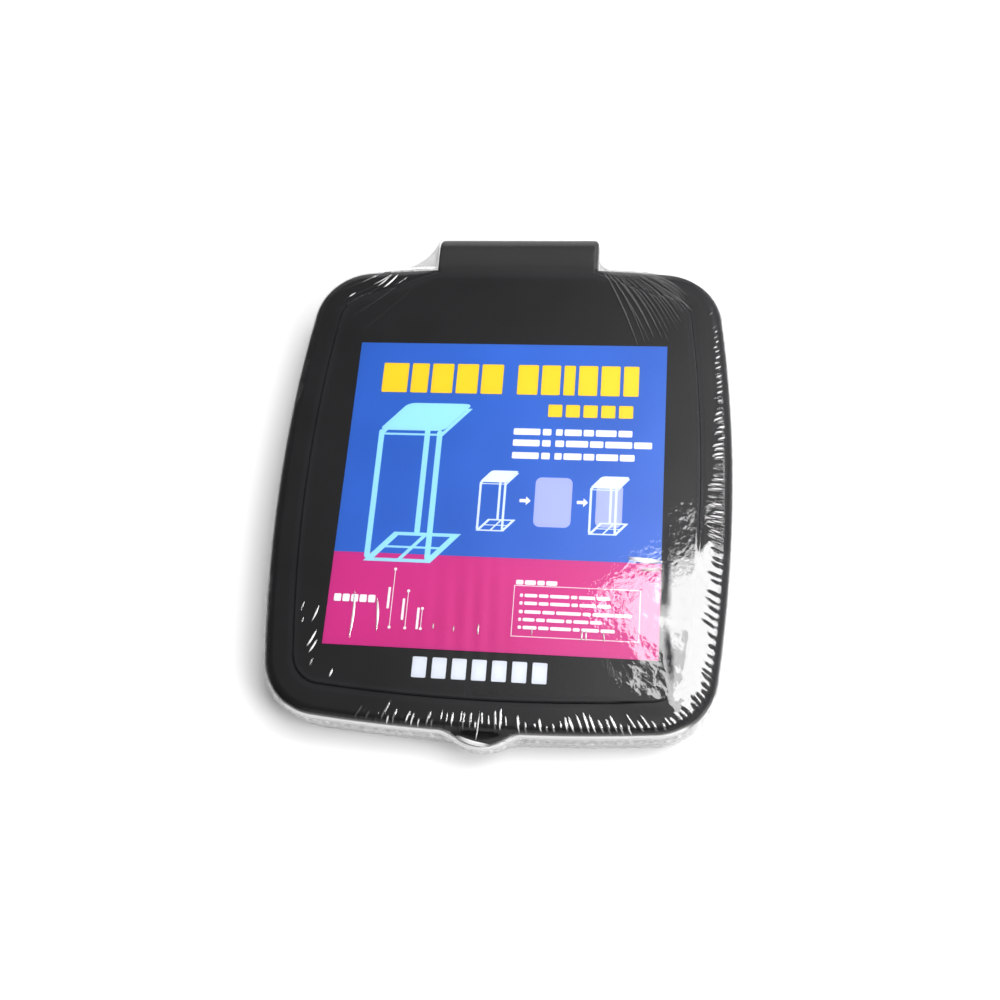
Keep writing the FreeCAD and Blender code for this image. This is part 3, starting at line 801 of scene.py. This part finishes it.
# %% The wall, from the rim's last row down to the floor
wall_foot, full_outline_from = 1.6, 25.4
drops = np.linspace(0, 1, 24)[:, None]
last = rim[-1]
wall_z = last[:, 2] * (1 - drops) + wall_foot * drops
share = np.clip(wall_z / full_outline_from, 0, 1)
wall_reach = foot + (edge - foot) * share
in_front = smooth((-last[:, 1] - 120) / 30)
at_left = smooth((-last[:, 0] - 120) / 20) * smooth((-30 - last[:, 1]) / 60)
ridge, _ = pleats(run + 0 * wall_z, pleat_begin.mean() + 2 + 0 * wall_z)
crumple = ridge + 0.18 * np.sin(run / 5.3 + 2 * np.sin(run / 31)) + 0.15 * waves(run, 0.3 * wall_z, 7, 31)
crumple *= 1 - 0.5 * in_front
push = 2.2 * at_left * np.sin(np.pi * drops ** 0.6) + 1.6 * in_front * np.sin(np.pi * drops)
push += crumple * smooth(drops * 6) * smooth((wall_z - 1) / 6)
push -= 1.6 * smooth((30 - wall_z) / 14) * (1 - np.maximum(in_front, at_left))
wall_xy = wall_reach[..., None] * ray + push[..., None] * outward
wall = np.concatenate([wall_xy, wall_z[..., None]], -1)
wall[0] = last

# %% The wall's upright streaks, its painted reflection of the white floor at the front and left, and clear film behind the block
streaks = smooth((waves(run, 0.2 * wall_z, 4, 33) - 0.5) / 1.2)
# A pale band high on the wall at the front and left paints in the white floor's reflection.
painted_floor_reflection = np.maximum(in_front, at_left) * smooth((0.62 - drops) / 0.4)
streaks = streaks * (1 - 0.6 * drops) * (1 - 0.6 * painted_floor_reflection)
behind_block = smooth((wall[..., 1] - 180) / 4) * smooth((0.5 - drops) / 0.3)
wall_milk_and_light = 0.04 + 0.26 * streaks + painted_floor_reflection * (0.56 + 0.03 * waves(run, 0.6 * wall_z, 5, 34))
wall_milk_and_light = np.clip(wall_milk_and_light, 0, 0.95) * (1 - 0.9 * behind_block)
film_wall = closed_grid("film_wall", wall, wall_milk_and_light, 0.5 * (1 - 0.8 * behind_block))
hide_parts("shrink_film")

# %% The top and the underside
half = np.arange(0, around, 2)
shares = np.linspace(0.004, 1, 62)[:, None]
inner_depth = edge[half] / slant[half]
top_depth = top_border + (1 - shares) * (inner_depth - top_border)
film_top = closed_grid("film_top", *film_points(top_depth, half))
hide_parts("shrink_film")

foot_points = wall[-1][half]
under_share = np.concatenate([[1.0], np.linspace(0.985, 0.004, 40)])[:, None]
under_xy = foot_points[:, :2] * under_share[..., None]
crumple = 0.12 * (1 + waves(under_xy[..., 0], under_xy[..., 1], 22, 21))
sag = np.clip(crumple * (1 - smooth((under_share - 0.6) / 0.4)), 0, 1)
under_z = np.where(under_share == 1, wall_foot, sag)
under = np.concatenate([under_xy, under_z[..., None]], -1)
film_under = closed_grid("film_under", under, 0.05 + 0 * under_z, 1 + 0 * under_z)
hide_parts("shrink_film")

# %% [markdown]
# ## Folds
# Where the film was pulled over the panel's rear corners it lies in long creases. A crease is a strip carried
# along a line: a low rounded ridge across, highest in the middle and fading at both ends, and it sits on the
# film at every point. Each also carries a painted highlight, white in its middle and fading at both ends. All
# creases have the same grid, so they are one array.

# %% Creases, with the card's middle in the lid's millimetres
card_x, card_y = 1.2, -7.2


def crease_strips(name, strokes):
    """Strips in card millimetres: x0, y0, x1, y1, width, height, bend to the left and painted highlight of
    each.
    """
    along, across = 44, 9
    table = np.array(strokes, float)[:, :, None, None]
    x0, y0, x1, y1, width, height, bend, white = table.transpose(1, 0, 2, 3)
    t = np.linspace(0, 1, along)[None, :, None]
    v = np.linspace(-1, 1, across)[None, None, :]
    dx, dy = x1 - x0, y1 - y0
    length = np.hypot(dx, dy)
    nx, ny = -dy / length, dx / length
    taper = np.sin(np.pi * t) ** 0.5
    off = v * width / 2 * (0.25 + 0.75 * taper) + bend * np.sin(np.pi * t)
    x = x0 + dx * t + nx * off + card_x
    y = y0 + dy * t + ny * off + card_y
    z = film_height(x, y) + film_waves(x, y) - 0.03 + height * taper * (1 - v ** 2) ** 2
    points = np.stack(np.broadcast_arrays(x, y, z), -1)
    number = len(strokes)
    index = np.arange(number * along * across).reshape(number, along, across)
    corners = [index[:, :-1, :-1], index[:, 1:, :-1], index[:, 1:, 1:], index[:, :-1, 1:]]
    quads = np.stack(corners, -1).reshape(-1, 4)
    mesh = bpy.data.meshes.new(name)
    mesh.from_pydata(to_pack(points.reshape(-1, 3)).tolist(), [], quads.tolist())
    mesh.shade_smooth()
    # Painted highlight, fading towards both ends of the crease.
    store(mesh, "milk_and_painted_light", np.broadcast_to(white * taper, z.shape))
    store(mesh, "shine", np.ones(z.shape))
    made = bpy.data.objects.new(name, mesh)
    bpy.context.scene.collection.objects.link(made)
    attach(made, "root")
    print(name, "creases:", number, "quads:", len(quads))


# The fan: creases leave the block's right corner and spread over the panel's shoulder.
fan_count = 24
draw = np.random.default_rng(5)
share = np.linspace(0, 1, fan_count) + draw.uniform(-0.012, 0.012, fan_count)
# Each fan crease has a faint painted highlight, drawn at random.
grey = draw.uniform(0.03, 0.10, fan_count)
fan_end_x = np.interp(share, [0, 0.25, 0.4, 0.7, 1], [88, 101, 109, 119, 114])
fan_end_y = np.interp(share, [0, 0.25, 0.4, 0.7, 1], [107, 110, 117, 135, 149])
fan = np.column_stack([
    57 + 27 * share, 170 - 4 * share,
    fan_end_x + draw.uniform(-3, 3, fan_count), fan_end_y + draw.uniform(-4, 4, fan_count),
    draw.uniform(0.8, 1.3, fan_count), draw.uniform(0.14, 0.30, fan_count),
    1.5 + 3.5 * np.sin(np.pi * share), grey]).tolist()
fan += [(98, 154, 121, 135, 2.2, 0.22, 0.5, 0.06)]
# The left side: short strokes with strong painted highlights near the rim, and long faint ones over the
# shoulder.
left_side = [
    (-90, 162.5, -103, 153.5, 0.9, 0.30, 0.5, 0.7), (-91, 161, -100, 152, 0.9, 0.30, 0.4, 0.8),
    (-85.5, 162.5, -95.5, 151, 1.2, 0.30, 0.6, 0.95), (-99, 163, -112, 155, 0.9, 0.20, 0.3, 0.3),
    (-115, 147, -119.5, 143.4, 0.9, 0.30, 0, 0.9), (-78, 161, -88, 153, 0.9, 0.15, 0.4, 0.12),
    (-100, 163, -132, 146, 1.0, 0.05, 1, 0.02), (-88, 160, -126, 132, 1.0, 0.05, 1, 0.015),
    (-76, 160, -118, 124, 1.0, 0.05, 1, 0.015), (-66, 158, -110, 112, 1.0, 0.04, 1, 0.01),
    (-94, 158, -128, 139, 1.0, 0.05, 1, 0.015), (-84, 152, -112, 130, 1.0, 0.05, 1, 0.01),
    (-110, -82, -113.5, -93, 1.1, 0.3, 0.3, 0.85), (-109.5, -98, -114.5, -109, 1.3, 0.35, 0.3, 1.0),
    (-108.3, -104, -112.8, -113, 1.2, 0.35, 0.3, 0.95), (-120, -80, -121.5, -86, 1.0, 0.25, 0, 0.5),
    (-119, -90, -120, -94, 0.9, 0.2, 0, 0.3), (-109.5, -116, -111, -121, 1.0, 0.25, 0, 0.5),
    (-96, -122, -97.5, -127.5, 1.2, 0.3, 0.2, 0.8),
]
# Short folds over the card's foot and its right edge, and three on the thumb lip, each with a painted
# highlight.
on_card = [
    (-88, -71, -88, -102, 1.6, 0.40, 1.0, 0.75), (-73, -75, -71, -97, 1.6, 0.40, 0.8, 0.75),
    (-35, -90, -35, -94, 1.0, 0.3, 0, 0.6), (-22, -91, -22, -95, 1.0, 0.3, 0, 0.6),
    (-6.5, -89, -6.5, -96, 1.1, 0.3, 0, 0.7), (27, -90, 27, -95, 1.0, 0.3, 0, 0.5),
    (58, -90, 58, -97, 1.1, 0.3, 0, 0.7), (60.5, -90, 60.5, -97, 1.1, 0.3, 0, 0.7),
    (71, -90, 72, -97, 1.1, 0.3, 0, 0.6), (84, -42.5, 106, -44, 3.2, 0.45, -0.5, 0.9),
    (92, -50, 106, -49, 2.2, 0.4, 0, 0.7),
]
on_lip = [
    (-15.5, -157.8, 6, -162.3, 2.4, 0.4, -1.3, 1.0), (12.5, -159.6, 19.5, -155.1, 0.9, 0.3, -0.8, 0.8),
    (-1.5, -143, -3.2, -161, 0.9, 0.3, 0.3, 0.8),
]
crease_strips("film_creases", fan + left_side + on_card + on_lip)

# %% [markdown]
# ## Shrink film: the material
# The film is clear polyolefin, 25 microns thick. Light crosses two faces at once, so the share that is
# mirrored is worked out for the pair: with R for one face, the pair mirrors 2R / (1 + R), and shine cuts it
# down where the film sticks to the plastic. The rest passes straight through, because a film this thin
# doesn't bend light. Milk stands in its way. In gathered film it is real: many layers, which scatter light.
# Low amounts of milk are grey, a painted shade, and high amounts white, a painted highlight.

# %% Clear film
material, tree, out = new_material("polyolefin_film")
milk_and_painted_light = add(tree, "Attribute", attribute_name="milk_and_painted_light", attribute_type="GEOMETRY")
shine = add(tree, "Attribute", attribute_name="shine", attribute_type="GEOMETRY")
where = add(tree, "TexCoord")
ripple = add(tree, "TexNoise", {"Scale": 1 / 0.004, "Detail": 2.0}, {"Vector": where.outputs["Object"]})
bump = add(tree, "Bump", {"Strength": 0.25, "Distance": 0.0002}, {"Height": ripple.outputs["Fac"]})
face = add(tree, "Fresnel", {"IOR": 1.5}, {"Normal": bump.outputs[0]})
twice = add(tree, "Math", {1: 2.0}, {0: face.outputs[0]}, operation="MULTIPLY")
beside = add(tree, "Math", {1: 1.0}, {0: face.outputs[0]}, operation="ADD")
pair = add(tree, "Math", operation="DIVIDE", links={0: twice.outputs[0], 1: beside.outputs[0]})
mirror = add(tree, "Math", operation="MULTIPLY", use_clamp=True,
             links={0: pair.outputs[0], 1: shine.outputs["Fac"]})
clear = add(tree, "BsdfTransparent", {"Color": (0.985, 0.985, 0.985, 1)})
# Grey at low amounts of milk paints in shade, and white at high amounts paints in highlights.
shade_to_highlight = add(tree, "MapRange", {"From Min": 0.5, "From Max": 0.75}, {"Value": milk_and_painted_light.outputs["Fac"]})
tint = add(tree, "MixRGB", {"Color1": linear("#c6c5c4"), "Color2": linear("#fcfcfc")},
           {"Fac": shade_to_highlight.outputs[0]})
milk = add(tree, "BsdfDiffuse", links={"Color": tint.outputs[0]})
body = add(tree, "MixShader", links={"Fac": milk_and_painted_light.outputs["Fac"], 1: clear.outputs[0], 2: milk.outputs[0]})
gloss = add(tree, "BsdfGlossy", {"Color": (1, 1, 1, 1), "Roughness": 0.04}, {"Normal": bump.outputs[0]})
film = add(tree, "MixShader", links={"Fac": mirror.outputs[0], 1: body.outputs[0], 2: gloss.outputs[0]})
tree.links.new(film.outputs[0], out.inputs["Surface"])
for name in ("film_rim", "film_wall", "film_top", "film_under", "film_creases"):
    bpy.data.objects[name].data.materials.append(material)

# %% [markdown]
# ## The view
# The film may stand a little proud of the solids' box, and nothing else may. The colours are shown
# through the Standard view transform.

# %% The view transform
bpy.context.scene.view_settings.view_transform = "Standard"
